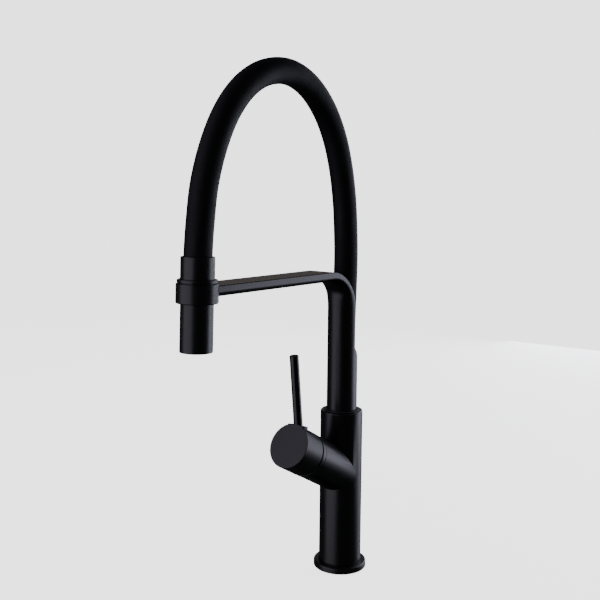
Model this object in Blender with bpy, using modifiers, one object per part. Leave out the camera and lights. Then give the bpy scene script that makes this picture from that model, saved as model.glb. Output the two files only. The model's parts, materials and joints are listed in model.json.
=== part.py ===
"""Pull-down kitchen faucet with an inclined single-lever valve, a swivelling spout arm
and an arched hose that ends in a spray head docked in a collar.

World frame: metres, +Z up. The origin is the centre of the base on the deck, the arm
points along -Y, and the model is symmetric about the plane X = 0.
All dimensions below are millimetres and are scaled by MM where an object is made.
"""
from math import cos, pi, radians, sin

import bmesh
import bpy
from mathutils import Matrix, Vector

MM = 0.001
GAP = 0.3                  # clearance between neighbouring pieces

# --- body and base -----------------------------------------------------------
BODY_R = 22.5
BODY_TOP = 171.0
BODY_FOOT = 0.8            # underside of the body tube above the deck
BODY_CHAMFER = 1.4
FLANGE_R = 28.1
FLANGE_TOP = 6.8
FLANGE_ROUND = 1.3
GASKET_R = 25.4            # centre line of the base gasket
GASKET_WIRE_R = 1.2
PLUG_R = 18.7
PLUG_TOP = 10.0
FOOT_BORE_R = 19.0
FOOT_BORE_TOP = 72.0
INLET_R = 4.45             # M10 x 1 supply inlets
INLET_X, INLET_Y = 7.8, 4.2
STUD_R = 3.4               # M8 fixing stud
STUD_Y = -10.5
STUD_DEPTH = 8.0
PASSAGE_R = 3.0            # water passages along the branch
RISER_R = 2.7              # upright water passages

# --- post and swivel ---------------------------------------------------------
POST_R = 16.1
POST_FOOT = 137.8
POST_BORE_R = 13.4
SWIVEL_BORE_R = 17.6
SWIVEL_BORE_FLOOR = 137.0
BUSH_R = 17.3
BUSH_BORE_R = 16.4
ORING_R = 16.85            # centre line radius of the two swivel seals
ORING_WIRE_R = 0.5
CUT_TOP = 239.0            # the rear of the post is cut away above here
CUT_SLOPE = 0.70           # backward run of the slanted cut per unit drop
BACK_Y = 1.2               # flat back of the upright channel

# --- arm ---------------------------------------------------------------------
ARM_TOP = 322.0
ARM_DEPTH = 11.2
ARM_SIDE = 5.0             # depth of the arm's upright side faces
ARM_BACK_AXIS = 30.0       # back half-axis of the arm section before it is cut flat
BEND_R = 42.0              # outer bend, along the flat back
INNER_BEND_R = 18.0        # inner bend, under the arm

# --- docking collar ----------------------------------------------------------
REACH = 217.0
DOCK_Z = 306.6             # underside of the collar
HEAD_TILT = 1.4            # lean of the head's axis, top towards the post, degrees
COLLAR_R = 18.7
COLLAR_BORE_R = 16.7
COLLAR_HEIGHT = 17.2
LINER_R = 16.4
LINER_BORE_R = 15.45
LIP_R = 17.8
LIP_LOW, LIP_HIGH = 17.8, 20.9

# --- spray head, heights from the collar's underside --------------------------
UPPER_SHELL_R = 15.05
UPPER_SHELL_TOP = 40.5
HEAD_SPLIT = 8.0
LOWER_SHELL_R = 14.6
HEAD_BOTTOM = -42.5
HEAD_BORE_R = 12.6

# --- hose --------------------------------------------------------------------
HOSE_R = 12.6
HOSE_WALL = 2.8
SPRING_R = 9.2
SPRING_WALL = 1.5
INNER_HOSE_R = 6.9
GROOVE_R = 12.95
GROOVE_LEAN = 0.0467       # backward lean of the hose behind the upright
GROOVE_START = 230.0
HOSE_STEP = 20.0           # spacing of the points along the hose
HOSE_ROUTE = (             # (y, z) from inside the post, over the arch, to the head
    (0, 206), (0, 232), (2.3, 280), (4.2, 330), (3, 363), (-0.3, 396), (-7.5, 429),
    (-19.5, 460), (-38.5, 487.5), (-64.5, 508), (-96, 517.5), (-129.5, 513),
    (-158.5, 497), (-181.5, 472), (-198, 441), (-208.5, 409), (-213.2, 378),
    (-215.6, 353), (-216.3, 333.3),
)

# --- branch, cartridge and handle, distances along the branch axis ------------
BRANCH_ANGLE = 29.0        # elevation of the branch axis, degrees
BRANCH_Z = 102.0           # height where the branch axis meets the body axis
BRANCH_R = 22.5
BRANCH_END = 66.5
RING_START, RING_END = 66.8, 72.0
RING_NOSE_R, RING_NOSE_END = 18.5, 74.5
CAVITY_R = 17.6
CAVITY_FLOOR = 30.0
PIVOT = 57.0               # lever pivot on the branch axis
CAP_R = 22.6
CAP_START = 73.8
CAP_CAVITY_R = 20.8
CAP_EDGE_R = 21.6
CAP_ROOF = 86.0
CAP_FACE = 102.8
CAP_ROUND = 0.5
CARRIER_R = 13.2
DISC_R = 10.2
BALL_OFFSET = 8.0          # lever ball below the pivot
LEVER_LEAN = 6.2           # forward lean of the lever rod from upright, degrees
LEVER_ROOT = (-74.8, 170.5)
LEVER_R = 4.6
LEVER_LENGTH = 71.0
LEVER_SEAT = -2.7          # foot of the rod, in a shallow counterbore below the root point
BOSS_R = 10.4
BOSS_TOP = -1.2
BOSS_LEAN = -16.0          # the boss leans back, between the rod and the cap's own radius

SEGMENTS = 32
MEDIUM = 20
SMALL = 12


def clear_scene():
    for old in list(bpy.data.objects):
        bpy.data.objects.remove(old, do_unlink=True)


clear_scene()
MODEL = bpy.data.collections.new("pull_down_kitchen_faucet")
CUTTERS = bpy.data.collections.new("cutters")
bpy.context.scene.collection.children.link(MODEL)
bpy.context.scene.collection.children.link(CUTTERS)


def make_material(name, colour, roughness, metallic):
    material = bpy.data.materials.new(name)
    material.use_nodes = True
    shader = material.node_tree.nodes["Principled BSDF"]
    shader.inputs["Base Color"].default_value = (*colour, 1.0)
    shader.inputs["Roughness"].default_value = roughness
    shader.inputs["Metallic"].default_value = metallic
    material.diffuse_color = (*colour, 1.0)
    return material


MATERIALS = {
    "black_coat": make_material("black_coat", (0.016, 0.016, 0.018), 0.42, 0.3),
    "black_silicone": make_material("black_silicone", (0.012, 0.012, 0.014), 0.7, 0.0),
    "black_rubber": make_material("black_rubber", (0.02, 0.02, 0.02), 0.8, 0.0),
    "brass": make_material("brass", (0.72, 0.53, 0.25), 0.3, 1.0),
    "steel": make_material("steel", (0.62, 0.62, 0.63), 0.28, 1.0),
    "white_plastic": make_material("white_plastic", (0.8, 0.8, 0.78), 0.45, 0.0),
    "grey_plastic": make_material("grey_plastic", (0.12, 0.12, 0.13), 0.5, 0.0),
    "ceramic": make_material("ceramic", (0.86, 0.84, 0.8), 0.2, 0.0),
}


# --- helpers -----------------------------------------------------------------
def empty(name, location, tilt=0.0):
    """An empty at (x, y, z) mm whose +Z leans by tilt degrees towards -Y."""
    frame = bpy.data.objects.new(name, None)
    frame.location = Vector(location) * MM
    frame.rotation_euler = (radians(tilt), 0, 0)
    MODEL.objects.link(frame)
    return frame


def add_object(name, mesh, material, parent, collection=None):
    obj = bpy.data.objects.new(name, mesh)
    (collection or MODEL).objects.link(obj)
    obj.parent = parent
    if material:
        mesh.materials.append(MATERIALS[material])
    return obj


def turned(name, profile, material, parent=None, steps=SEGMENTS, ring=False):
    """Turn (radius, height) points about local Z; the outer side runs downwards."""
    mesh = bpy.data.meshes.new(name)
    points = [(radius * MM, 0, height * MM) for radius, height in profile]
    edges = [(i, i + 1) for i in range(len(points) - 1)]
    if ring:
        edges.append((len(points) - 1, 0))
    mesh.from_pydata(points, edges, [])
    obj = add_object(name, mesh, material, parent)
    screw = obj.modifiers.new("turn", "SCREW")
    screw.axis = "Z"
    screw.steps = steps
    screw.render_steps = steps
    screw.use_merge_vertices = True
    screw.merge_threshold = 0.00001
    screw.use_smooth_shade = True
    return obj


def disc(name, radius, low, high, material, parent=None, steps=SEGMENTS, chamfer=0.0):
    """A solid turned cylinder, with an optional chamfer on both rims."""
    profile = [(0, high), (radius - chamfer, high)]
    if chamfer:
        profile += [(radius, high - chamfer), (radius, low + chamfer)]
    else:
        profile[-1] = (radius, high)
    profile += [(radius - chamfer, low), (0, low)]
    return turned(name, profile, material, parent, steps)


def ring(name, outer, inner, low, high, material, parent=None, steps=SEGMENTS):
    profile = [(outer, high), (outer, low), (inner, low), (inner, high)]
    return turned(name, profile, material, parent, steps, ring=True)


def torus(name, radius, wire, height, material, parent=None, steps=SEGMENTS, sides=8):
    """A seal of round section; its profile runs down the outer side first."""
    profile = []
    for k in range(sides):
        angle = -2 * pi * k / sides
        profile.append((radius + wire * cos(angle), height + wire * sin(angle)))
    return turned(name, profile, material, parent, steps, ring=True)


def as_cutter(obj):
    obj.hide_render = True
    obj.display_type = "WIRE"
    for collection in list(obj.users_collection):
        collection.objects.unlink(obj)
    CUTTERS.objects.link(obj)
    return obj


def drill(radius, start, end, parent=None, steps=SMALL):
    """A round cutter between two points given in the parent's frame, in mm."""
    start, end = Vector(start), Vector(end)
    bpy.ops.mesh.primitive_cylinder_add(
        vertices=steps, radius=radius * MM, depth=(end - start).length * MM)
    tool = bpy.context.object
    tool.name = "drill"
    tool.parent = parent
    tool.location = (start + end) / 2 * MM
    tool.rotation_euler = (end - start).to_track_quat("Z", "Y").to_euler()
    return as_cutter(tool)


def block(low, high, parent=None):
    """A box cutter between two corners given in the parent's frame, in mm."""
    low, high = Vector(low), Vector(high)
    bpy.ops.mesh.primitive_cube_add(size=1)
    tool = bpy.context.object
    tool.name = "block"
    tool.parent = parent
    size = (high - low) * MM
    tool.data.transform(Matrix.Diagonal((*size, 1.0)))
    tool.location = (low + high) / 2 * MM
    return as_cutter(tool)


def boolean(obj, other, operation):
    modifier = obj.modifiers.new(operation.lower(), "BOOLEAN")
    modifier.operation = operation
    modifier.object = other
    modifier.solver = "EXACT"


def cut(obj, *tools):
    for tool in tools:
        boolean(obj, tool, "DIFFERENCE")
    return obj


def join(obj, other):
    boolean(obj, as_cutter(other), "UNION")
    return obj


def smooth_points(route, step):
    """Evenly spaced points on a Catmull-Rom curve through (y, z) guide points."""
    guides = [Vector(point) for point in route]
    guides = [2 * guides[0] - guides[1]] + guides + [2 * guides[-1] - guides[-2]]
    fine = []
    for a, b, c, d in zip(guides, guides[1:], guides[2:], guides[3:]):
        for k in range(12):
            t = k / 12
            fine.append(0.5 * (2 * b + (c - a) * t + (2 * a - 5 * b + 4 * c - d) * t ** 2
                               + (3 * b - a - 3 * c + d) * t ** 3))
    fine.append(guides[-2])
    total = sum((q - p).length for p, q in zip(fine, fine[1:]))
    count = round(total / step)
    spaced, walked, target = [fine[0]], 0.0, 1
    for p, q in zip(fine, fine[1:]):
        length = (q - p).length
        while target < count and walked + length >= total * target / count:
            spaced.append(p.lerp(q, (total * target / count - walked) / length))
            target += 1
        walked += length
    spaced.append(fine[-1])
    return spaced


def hose_tube(name, radius, wall, points, material, resolution=3):
    """A tube along (y, z) points; a wall of 0 makes it a solid rod."""
    curve = bpy.data.curves.new(name, "CURVE")
    curve.dimensions = "3D"
    curve.bevel_depth = radius * MM
    curve.bevel_resolution = resolution
    curve.use_fill_caps = wall == 0
    spline = curve.splines.new("POLY")
    spline.points.add(len(points) - 1)
    for node, (y, z) in zip(spline.points, points):
        node.co = (0, y * MM, z * MM, 1)
    obj = add_object(name, curve, None, None)
    curve.materials.append(MATERIALS[material])
    if wall:
        shell = obj.modifiers.new("wall", "SOLIDIFY")
        shell.thickness = wall * MM
        shell.offset = -1
    else:
        weld = obj.modifiers.new("weld", "WELD")
        weld.merge_threshold = 0.00002
    return obj


# --- frames that the pieces hang from ------------------------------------------
BRANCH = empty("branch_axis", (0, 0, BRANCH_Z), 90 - BRANCH_ANGLE)
BRANCH_DIRECTION = Vector((0, -cos(radians(BRANCH_ANGLE)), sin(radians(BRANCH_ANGLE))))
HANDLE = empty("handle_pivot", Vector((0, 0, BRANCH_Z)) + PIVOT * BRANCH_DIRECTION,
               90 - BRANCH_ANGLE)
LEVER = empty("lever_axis", (0, *LEVER_ROOT), LEVER_LEAN)
BOSS = empty("boss_axis", (0, *LEVER_ROOT), BOSS_LEAN)
DOCK = empty("head_axis", (0, -REACH, DOCK_Z), -HEAD_TILT)


# --- base --------------------------------------------------------------------
def base():
    high, low = FLANGE_TOP, 0.5
    groove_low, groove_high = GASKET_R - 1.6, GASKET_R + 1.6
    groove_top = 2 * GASKET_WIRE_R + 0.4
    inner = BODY_R + GAP
    profile = [
        (inner, high), (FLANGE_R - FLANGE_ROUND, high), (FLANGE_R - 0.4, high - 0.45),
        (FLANGE_R, high - FLANGE_ROUND), (FLANGE_R, low), (groove_high, low),
        (groove_high, groove_top), (groove_low, groove_top), (groove_low, low),
        (inner, low),
    ]
    turned("base_flange", profile, "black_coat", ring=True)
    torus("base_gasket", GASKET_R, GASKET_WIRE_R, GASKET_WIRE_R, "black_rubber")
    plug = disc("base_plug", PLUG_R, 0, PLUG_TOP, "brass", chamfer=0.4)
    for side in (-1, 1):
        x = side * INLET_X
        cut(plug, drill(INLET_R, (x, INLET_Y, -2), (x, INLET_Y, PLUG_TOP + 2)))
    cut(plug, drill(STUD_R, (0, STUD_Y, -2), (0, STUD_Y, STUD_DEPTH)))


def faucet_body():
    top = BODY_TOP
    profile = [(0, top), (BODY_R - BODY_CHAMFER, top), (BODY_R - 0.35, top - 0.5),
               (BODY_R, top - BODY_CHAMFER), (BODY_R, BODY_FOOT), (0, BODY_FOOT)]
    body = turned("faucet_body", profile, "black_coat")
    branch = disc("branch", BRANCH_R - 0.1, 0, BRANCH_END, "black_coat", BRANCH,
                  chamfer=0.3)
    join(body, branch)
    cut(body, drill(FOOT_BORE_R, (0, 0, -3), (0, 0, FOOT_BORE_TOP), steps=SEGMENTS))
    cut(body, drill(CAVITY_R, (0, 0, CAVITY_FLOOR), (0, 0, BRANCH_END + 3), BRANCH,
                    steps=SEGMENTS))
    cut(body, drill(SWIVEL_BORE_R, (0, 0, SWIVEL_BORE_FLOOR), (0, 0, top + 3),
                    steps=SEGMENTS))
    for side in (-1, 1):
        x = side * 7.0
        cut(body, drill(PASSAGE_R, (x, -5, 8), (x, -5, CAVITY_FLOOR + 1), BRANCH))
        cut(body, drill(RISER_R, (x, -9.4, FOOT_BORE_TOP - 2), (x, -9.4, 103.5)))
    cut(body, drill(PASSAGE_R, (0, 8, 15.5), (0, 8, CAVITY_FLOOR + 1), BRANCH))
    cut(body, drill(RISER_R, (0, -10.1, 115.5), (0, -10.1, SWIVEL_BORE_FLOOR + 1)))
    cut(body, drill(2.3, (0, SWIVEL_BORE_R - 3, 142), (0, BODY_R + 2, 142)))


def swivel():
    ring("lower_swivel_bush", BUSH_R, BUSH_BORE_R, POST_FOOT, 145.5, "white_plastic")
    lip_high = BODY_TOP + 1.0
    lip_low = BODY_TOP + GAP
    profile = [(BUSH_BORE_R, lip_high), (18.6, lip_high), (19.0, lip_high - 0.35),
               (19.0, lip_low), (BUSH_R, lip_low), (BUSH_R, 160.0),
               (BUSH_BORE_R, 160.0)]
    turned("upper_swivel_bush", profile, "grey_plastic", ring=True)
    torus("lower_swivel_seal", ORING_R, ORING_WIRE_R, 149.0, "black_rubber", sides=5)
    torus("upper_swivel_seal", ORING_R, ORING_WIRE_R, 155.0, "black_rubber", sides=5)
    screw = empty("screw_axis", (0, 0, 142.0), -90)
    disc("swivel_grub_screw", 2.0, SWIVEL_BORE_R + 0.2, BODY_R - 0.8, "steel", screw,
         steps=16, chamfer=0.3)


# --- spout: post, bend and arm in one casting ----------------------------------
def inner_bend_point(t):
    """Point on the front line of the bend at the fraction t of its length."""
    low_z = ARM_TOP - BEND_R
    arc_z = ARM_TOP - ARM_DEPTH - INNER_BEND_R
    start = arc_z - low_z
    arc = INNER_BEND_R * pi / 2
    end = BEND_R - BACK_Y - POST_R - INNER_BEND_R
    walked = t * (start + arc + end)
    if walked < start:
        return Vector((-POST_R, low_z + walked))
    if walked < start + arc:
        angle = (walked - start) / INNER_BEND_R
        return Vector((-POST_R - INNER_BEND_R * (1 - cos(angle)),
                       arc_z + INNER_BEND_R * sin(angle)))
    return Vector((-POST_R - INNER_BEND_R - (walked - start - arc),
                   ARM_TOP - ARM_DEPTH))


def spout_stations():
    """(centre, front point, back half-axis) of each section, as (y, z) in mm."""
    stations = []
    for z in (POST_FOOT, 200.0, 240.0, 262.0):
        stations.append((Vector((0, z)), Vector((-POST_R, z)), POST_R))
    bend_start = ARM_TOP - BEND_R
    run = BEND_R - BACK_Y
    rise = ARM_TOP - ARM_SIDE - bend_start
    steps = 12
    for k in range(steps + 1):
        t = k / steps
        angle = t * pi / 2
        centre = Vector((-run * (1 - cos(angle)), bend_start + rise * sin(angle)))
        back = POST_R + (ARM_BACK_AXIS - POST_R) * t
        stations.append((centre, inner_bend_point(t), back))
    for y in (-120.0, -REACH + 8.0):
        centre = Vector((y, ARM_TOP - ARM_SIDE))
        front = Vector((y, ARM_TOP - ARM_DEPTH))
        stations.append((centre, front, ARM_BACK_AXIS))
    return stations


def spout_arm():
    sides = 32
    mesh = bpy.data.meshes.new("spout_arm")
    loft = bmesh.new()
    rows = []
    for centre, front, back_axis in spout_stations():
        forward = front - centre
        row = []
        for k in range(sides):
            angle = 2 * pi * k / sides
            reach = cos(angle)
            unit = forward.normalized()
            offset = forward * reach if reach > 0 else unit * back_axis * reach
            point = centre + offset
            row.append(loft.verts.new(
                (POST_R * sin(angle) * MM, point.x * MM, point.y * MM)))
        rows.append(row)
    for first, second in zip(rows, rows[1:]):
        for k in range(sides):
            j = (k + 1) % sides
            loft.faces.new((first[k], first[j], second[j], second[k]))
    loft.faces.new(list(reversed(rows[0])))
    loft.faces.new(rows[-1])
    bmesh.ops.recalc_face_normals(loft, faces=loft.faces)
    loft.to_mesh(mesh)
    loft.free()
    arm = add_object("spout_arm", mesh, "black_coat", None)
    cut(arm, spout_back_cutter())
    cut(arm, drill(POST_BORE_R, (0, 0, POST_FOOT - 3), (0, 0, CUT_TOP - 4),
                   steps=SEGMENTS))
    lean = GROOVE_LEAN
    low, high = GROOVE_START - 8.0, ARM_TOP + 14.0
    cut(arm, drill(GROOVE_R, (0, lean * (low - GROOVE_START), low),
                   (0, lean * (high - GROOVE_START), high), steps=SEGMENTS))
    cut(arm, drill(COLLAR_R + GAP, (0, 0, -30), (0, 0, 40), DOCK, steps=SEGMENTS))
    return arm


def spout_back_cutter():
    """Everything behind the slanted cut, the upright's flat back and the arm's top."""
    far_y, far_z, wide = 40.0, ARM_TOP + 60.0, 30.0
    outline = [(far_y, CUT_TOP - (far_y - BACK_Y) / CUT_SLOPE),
               (BACK_Y, CUT_TOP), (BACK_Y, ARM_TOP - BEND_R)]
    steps = 16
    for k in range(1, steps + 1):
        angle = pi / 2 * k / steps
        outline.append((BACK_Y - BEND_R * (1 - cos(angle)),
                        ARM_TOP - BEND_R * (1 - sin(angle))))
    outline += [(-REACH - 30.0, ARM_TOP), (-REACH - 30.0, far_z), (far_y, far_z)]
    curve = bpy.data.curves.new("spout_back", "CURVE")
    curve.dimensions = "2D"
    curve.fill_mode = "BOTH"
    curve.extrude = wide * MM
    spline = curve.splines.new("POLY")
    spline.points.add(len(outline) - 1)
    spline.use_cyclic_u = True
    for node, (y, z) in zip(spline.points, outline):
        node.co = (y * MM, z * MM, 0, 1)
    guide = bpy.data.objects.new("spout_back_curve", curve)
    CUTTERS.objects.link(guide)
    guide.matrix_world = Matrix(((0, 0, 1, 0), (1, 0, 0, 0), (0, 1, 0, 0), (0, 0, 0, 1)))
    bpy.context.view_layer.update()
    evaluated = guide.evaluated_get(bpy.context.evaluated_depsgraph_get())
    mesh = bpy.data.meshes.new_from_object(evaluated)
    weld = bmesh.new()
    weld.from_mesh(mesh)
    bmesh.ops.remove_doubles(weld, verts=weld.verts, dist=0.00001)
    bmesh.ops.recalc_face_normals(weld, faces=weld.faces)
    weld.to_mesh(mesh)
    weld.free()
    tool = bpy.data.objects.new("spout_back", mesh)
    tool.matrix_world = guide.matrix_world
    CUTTERS.objects.link(tool)
    bpy.data.objects.remove(guide)
    return as_cutter(tool)


def docking_collar():
    edge = 1.0
    profile = [
        (COLLAR_R - 0.4, COLLAR_HEIGHT), (COLLAR_R, COLLAR_HEIGHT - 0.4),
        (COLLAR_R, edge), (COLLAR_R - 0.3, 0.3), (COLLAR_R - edge, 0),
        (COLLAR_BORE_R, 0), (COLLAR_BORE_R, COLLAR_HEIGHT),
    ]
    turned("docking_collar", profile, "black_coat", DOCK, ring=True)
    profile = [
        (LIP_R - 0.6, LIP_HIGH), (LIP_R, LIP_HIGH - 0.6), (LIP_R, LIP_LOW),
        (LINER_R, LIP_LOW), (LINER_R, 0.4), (LINER_BORE_R, 0.4),
        (LINER_BORE_R, LIP_HIGH),
    ]
    turned("collar_liner", profile, "black_coat", DOCK, ring=True)


# --- hose and its fittings -----------------------------------------------------
def hose():
    points = smooth_points(HOSE_ROUTE, HOSE_STEP)
    hose_tube("hose_sleeve", HOSE_R, HOSE_WALL, points, "black_silicone", 4)
    hose_tube("support_spring", SPRING_R, SPRING_WALL, points, "steel", 2)
    hose_tube("inner_hose", INNER_HOSE_R, 0, points[1:-1], "grey_plastic", 2)
    profile = [
        (4.0, 216.5), (6.6, 216.5), (6.6, 205.0), (POST_BORE_R - GAP, 205.0),
        (POST_BORE_R - GAP, 192.0), (4.0, 192.0),
    ]
    turned("hose_adapter", profile, "brass", steps=MEDIUM, ring=True)
    ring("post_retaining_ring", POST_BORE_R - GAP, 10.5, 188.5, 191.0, "steel",
         steps=MEDIUM)


def spray_head():
    upper, split = UPPER_SHELL_R, HEAD_SPLIT + GAP
    socket = HOSE_R + 0.35
    profile = [
        (upper - 0.8, UPPER_SHELL_TOP), (upper, UPPER_SHELL_TOP - 0.8), (upper, split),
        (HEAD_BORE_R, split), (HEAD_BORE_R, 22.0), (9.9, 22.0), (9.9, 25.8),
        (socket, 25.8), (socket, UPPER_SHELL_TOP),
    ]
    turned("head_upper_shell", profile, "black_coat", DOCK, ring=True)
    profile = [
        (3.5, 38.0), (6.6, 38.0), (6.6, 26.2), (9.4, 26.2), (9.4, 21.4),
        (12.0, 21.4), (12.0, 18.4), (7.0, 18.4), (7.0, 14.2), (3.5, 14.2),
    ]
    turned("hose_end_fitting", profile, "brass", DOCK, steps=MEDIUM, ring=True)
    torus("hose_end_seal", 9.2, 1.0, 17.1, "black_rubber", DOCK, steps=MEDIUM, sides=6)
    lower, bottom = LOWER_SHELL_R, HEAD_BOTTOM
    profile = [
        (lower, HEAD_SPLIT), (lower, bottom + 1.0), (lower - 0.3, bottom + 0.3),
        (lower - 1.0, bottom), (HEAD_BORE_R, bottom), (HEAD_BORE_R, -2.0),
        (6.2, -2.0), (6.2, HEAD_SPLIT),
    ]
    turned("head_lower_shell", profile, "black_coat", DOCK, ring=True)
    profile = [
        (11.8, 13.6), (11.8, 8.3), (5.9, 8.3), (5.9, -1.6), (3.0, -1.6), (3.0, 11.0),
        (8.0, 11.0), (8.0, 13.6),
    ]
    turned("check_valve", profile, "white_plastic", DOCK, steps=MEDIUM, ring=True)
    ring("filter_washer", 7.7, 3.4, 11.3, 13.3, "black_rubber", DOCK, steps=MEDIUM)
    profile = [
        (12.3, -2.4), (12.3, -29.0), (9.5, -29.0), (9.5, -6.0), (4.0, -6.0), (4.0, -2.4),
    ]
    turned("spray_core", profile, "grey_plastic", DOCK, steps=MEDIUM, ring=True)
    profile = [
        (12.25, -29.4), (12.25, bottom + 1.4), (9.6, bottom + 1.4), (9.6, -37.0),
        (10.6, -36.4), (10.6, -29.4),
    ]
    turned("aerator_housing", profile, "grey_plastic", DOCK, steps=MEDIUM, ring=True)
    screen = disc("aerator_screen", 10.3, -35.8, -33.2, "steel", DOCK, steps=MEDIUM)
    for k in range(6):
        angle = pi / 3 * k
        x, y = 5.8 * cos(angle), 5.8 * sin(angle)
        cut(screen, drill(1.3, (x, y, -40), (x, y, -30), DOCK, steps=8))
    cut(screen, drill(1.3, (0, 0, -40), (0, 0, -30), DOCK, steps=8))


# --- valve cartridge -----------------------------------------------------------
def cartridge():
    ports = ((-7.0, -5.0), (7.0, -5.0), (0.0, 8.0))
    seal = disc("cartridge_seal", 16.6, 30.3, 32.5, "black_rubber", BRANCH, steps=MEDIUM)
    foot = disc("cartridge_base", 17.0, 32.8, 37.1, "white_plastic", BRANCH, steps=MEDIUM)
    fixed = disc("fixed_disc", 13.1, 37.4, 40.9, "ceramic", BRANCH, steps=MEDIUM)
    for piece in (seal, foot, fixed):
        for x, y in ports:
            cut(piece, drill(2.6, (x, y, 25), (x, y, 45), BRANCH, steps=16))
    profile = [
        (17.0, 65.0), (17.0, 37.4), (13.5, 37.4), (13.5, 62.6), (10.8, 62.6),
        (10.8, 65.0),
    ]
    turned("cartridge_housing", profile, "white_plastic", BRANCH, ring=True)
    profile = [(17.3, 69.6), (17.3, 65.3), (12.2, 65.3), (12.2, 69.6)]
    turned("cartridge_nut", profile, "brass", BRANCH, ring=True)
    profile = [
        (RING_NOSE_R, RING_NOSE_END), (RING_NOSE_R, RING_END),
        (BRANCH_R - 0.5, RING_END), (BRANCH_R, RING_END - 0.5),
        (BRANCH_R, RING_START + 0.3), (BRANCH_R - 0.3, RING_START),
        (CAVITY_R, RING_START), (CAVITY_R, 70.0), (13.0, 70.0), (13.0, RING_NOSE_END),
    ]
    turned("bonnet_ring", profile, "black_coat", BRANCH, ring=True)
    moving = disc("moving_disc", DISC_R, 41.2, 44.7, "ceramic", BRANCH, steps=MEDIUM)
    cut(moving, drill(3.6, (0, -1, 36), (0, -1, 43.0), BRANCH, steps=16))
    holder = disc("disc_carrier", DISC_R, 45.0, 50.6, "white_plastic", BRANCH,
                  steps=MEDIUM)
    cut(holder, drill(3.8, (0, 0, 45.8), (0, 0, 54), BRANCH))
    yoke = disc("lever_carrier", CARRIER_R, 51.0, 62.2, "grey_plastic", BRANCH,
                steps=MEDIUM)
    cut(yoke, block((-4.4, -9.6, 48), (4.4, 9.6, 66), BRANCH))
    cut(yoke, drill(1.8, (-20, 0, PIVOT), (20, 0, PIVOT), BRANCH, steps=16))
    pin_frame = empty("pin_axis", Vector((0, 0, BRANCH_Z)) + PIVOT * BRANCH_DIRECTION)
    pin_frame.rotation_euler = (0, radians(90), 0)
    disc("lever_pin", 1.5, -12.6, 12.6, "steel", pin_frame, steps=16, chamfer=0.2)


# --- handle --------------------------------------------------------------------
def handle():
    """The cap, its lever rod, the cartridge lever and the screw that holds them."""
    face, start, roof = CAP_FACE - PIVOT, CAP_START - PIVOT, CAP_ROOF - PIVOT
    profile = [
        (0, face), (CAP_R - CAP_ROUND, face), (CAP_R, face - CAP_ROUND),
        (CAP_R, start + 0.3), (CAP_R - 0.3, start), (CAP_EDGE_R, start),
        (CAP_CAVITY_R, start + 2.0), (CAP_CAVITY_R, roof), (0, roof),
    ]
    cap = turned("handle_cap", profile, "black_coat", HANDLE)
    boss = disc("lever_boss", BOSS_R, -14.0, BOSS_TOP, "black_coat", BOSS,
                steps=MEDIUM)
    cut(boss, block((-20, -25, face - 0.04), (20, 40, face + 30), HANDLE))
    cut(boss, block((-20, -30, -20), (20, 40, roof + 2), HANDLE))
    join(cap, boss)
    cut(cap, block((-4.3, -4.7, roof - 2), (4.3, 4.7, roof + 10), HANDLE))
    cut(cap, drill(3.3, (0, 0, -11), (0, 0, 8), LEVER))
    cut(cap, drill(LEVER_R + GAP - 0.1, (0, 0, LEVER_SEAT - GAP), (0, 0, 8), LEVER,
                   steps=MEDIUM))
    cut(cap, drill(2.3, (0, -30, roof + 5.5), (0, 0, roof + 5.5), HANDLE))
    screw = empty("handle_screw_axis", (0, 0, 0), 0)
    screw.parent = HANDLE
    screw.location = (0, 0, (roof + 5.5) * MM)
    screw.rotation_euler = (radians(90), 0, 0)
    disc("handle_grub_screw", 2.0, 5.2, 19.5, "steel", screw, steps=16, chamfer=0.3)
    low = LEVER_SEAT
    profile = [
        (0, LEVER_LENGTH), (LEVER_R - 0.5, LEVER_LENGTH), (LEVER_R, LEVER_LENGTH - 0.5),
        (LEVER_R, low), (3.0, low), (3.0, -10.0), (0, -10.0),
    ]
    turned("lever_rod", profile, "black_coat", LEVER, steps=MEDIUM)
    stem = block((-3.9, -4.3, -4.8), (3.9, 4.3, roof + 9.0), HANDLE)
    stem.name = "lever_stem"
    lever = disc("cartridge_lever", 2.0, -BALL_OFFSET, 2.0, "steel", HANDLE, steps=16)
    join(lever, stem)
    bpy.ops.mesh.primitive_uv_sphere_add(segments=16, ring_count=10, radius=2.9 * MM)
    ball = bpy.context.object
    ball.name = "lever_ball"
    ball.parent = HANDLE
    ball.location = (0, 0, -BALL_OFFSET * MM)
    join(lever, ball)
    cut(lever, drill(1.8, (-20, 0, 0), (20, 0, 0), HANDLE, steps=16))


base()
faucet_body()
swivel()
spout_arm()
docking_collar()
hose()
spray_head()
cartridge()
handle()
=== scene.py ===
"""Looks of the pull-down kitchen faucet: fine meshes and procedural finishes round its CAD frame.

World frame in metres, +Z up, the arm along -Y. Matrices are in metres. Named sizes and
profile points are in millimetres, and MM scales them where a mesh is made.
"""
import json
from math import atan2, ceil, cos, pi, radians, sin, sqrt, tan

import bmesh
import bpy
from mathutils import Matrix, Vector


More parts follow.
